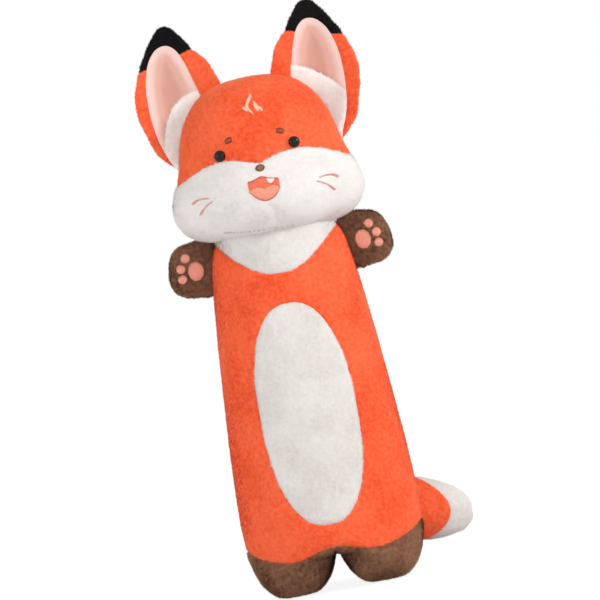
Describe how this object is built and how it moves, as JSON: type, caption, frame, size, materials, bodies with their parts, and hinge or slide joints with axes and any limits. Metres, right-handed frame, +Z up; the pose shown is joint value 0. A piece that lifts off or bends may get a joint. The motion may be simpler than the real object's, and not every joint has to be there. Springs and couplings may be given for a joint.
{
  "type": "plush fox",
  "caption": "Long standing stuffed fox with a big head, upright ears, short arms and a bushy side tail, sewn from plush panels over filling.",
  "frame": {"origin": "on the floor plane of the two soles, under the middle of the toy's overall box, ears and tail included", "axes": "+Z up along the standing body, -Y out of the face, +X toward the toy's own left"},
  "size_m": [0.3064, 0.2726, 0.7055],
  "materials": {
    "orange_plush": "short plush pile, orange",
    "white_plush": "short plush pile, white",
    "brown_plush": "short plush pile, brown",
    "black_plush": "short plush pile, black",
    "ear_lining": "smooth pale pink cloth with a fluffy white base",
    "pad_plush": "short peach velour",
    "filling": "loose polyester fibre",
    "black_plastic": "glossy black",
    "washer_plastic": "matt white",
    "brown_thread": "brown satin stitch",
    "coral_thread": "coral satin stitch",
    "pink_thread": "pink satin stitch",
    "white_thread": "white satin stitch",
    "rose_thread": "dusty rose satin stitch",
    "dark_thread": "dark brown satin stitch",
    "peach_thread": "pale peach satin stitch"
  },
  "bodies": {
    "torso": {"body_front_panel": "orange_plush", "body_back_panel": "orange_plush", "belly_patch": "white_plush", "chest_bib": "white_plush", "left_foot_cover": "brown_plush", "right_foot_cover": "brown_plush", "body_stuffing": "filling"},
    "head": {"left_eye": "black_plastic", "left_eye_washer": "washer_plastic", "right_eye": "black_plastic", "right_eye_washer": "washer_plastic", "forehead_panel": "orange_plush", "muzzle_panel": "white_plush", "head_back_panel": "orange_plush", "head_stuffing": "filling", "nose": "brown_thread", "mouth_roof": "coral_thread", "tongue": "pink_thread", "fang": "white_thread", "left_upper_whisker": "rose_thread", "left_lower_whisker": "rose_thread", "left_brow": "dark_thread", "right_upper_whisker": "rose_thread", "right_lower_whisker": "rose_thread", "right_brow": "dark_thread", "forehead_mark_middle": "peach_thread", "forehead_mark_right": "peach_thread", "forehead_mark_left": "peach_thread"},
    "left_ear": {"left_ear_back": "orange_plush", "left_ear_tip": "black_plush", "left_ear_lining": "ear_lining"},
    "right_ear": {"right_ear_back": "orange_plush", "right_ear_tip": "black_plush", "right_ear_lining": "ear_lining"},
    "left_arm": {"left_arm_cover": "brown_plush", "left_arm_stuffing": "filling", "left_palm_pad": "pad_plush", "left_upper_toe_pad": "pad_plush", "left_middle_toe_pad": "pad_plush", "left_lower_toe_pad": "pad_plush"},
    "right_arm": {"right_arm_cover": "brown_plush", "right_arm_stuffing": "filling", "right_palm_pad": "pad_plush", "right_upper_toe_pad": "pad_plush", "right_middle_toe_pad": "pad_plush", "right_lower_toe_pad": "pad_plush"},
    "tail": {"tail_base_cover": "orange_plush", "tail_tip_cover": "white_plush", "tail_stuffing": "filling"}
  },
  "joints": [
    {"name": "neck_nod", "type": "hinge", "parent": "torso", "child": "head", "pos_m": [-0.01545, -0.04018, 0.427], "axis": [1, 0, 0], "range_deg": [-8, 8], "stiffness_Nm_per_rad": 3},
    {"name": "left_ear_fold", "type": "hinge", "parent": "head", "child": "left_ear", "pos_m": [0.0734, -0.04018, 0.57769], "axis": [-0.4789, 0, 0.8779], "range_deg": [-20, 20], "stiffness_Nm_per_rad": 0.1},
    {"name": "right_ear_fold", "type": "hinge", "parent": "head", "child": "right_ear", "pos_m": [-0.10429, -0.04018, 0.57769], "axis": [0.4789, 0, 0.8779], "range_deg": [-20, 20], "stiffness_Nm_per_rad": 0.1},
    {"name": "left_arm_swing", "type": "hinge", "parent": "torso", "child": "left_arm", "pos_m": [0.07052, -0.04018, 0.40456], "axis": [-0.1941, 0, 0.981], "range_deg": [-30, 30], "stiffness_Nm_per_rad": 0.1},
    {"name": "right_arm_swing", "type": "hinge", "parent": "torso", "child": "right_arm", "pos_m": [-0.10141, -0.04018, 0.40456], "axis": [0.1941, 0, 0.981], "range_deg": [-30, 30], "stiffness_Nm_per_rad": 0.1},
    {"name": "tail_swing", "type": "hinge", "parent": "torso", "child": "tail", "pos_m": [-0.01545, 0.03584, 0.098], "axis": [0, 0, 1], "range_deg": [-6, 60], "stiffness_Nm_per_rad": 0.2}
  ]
}
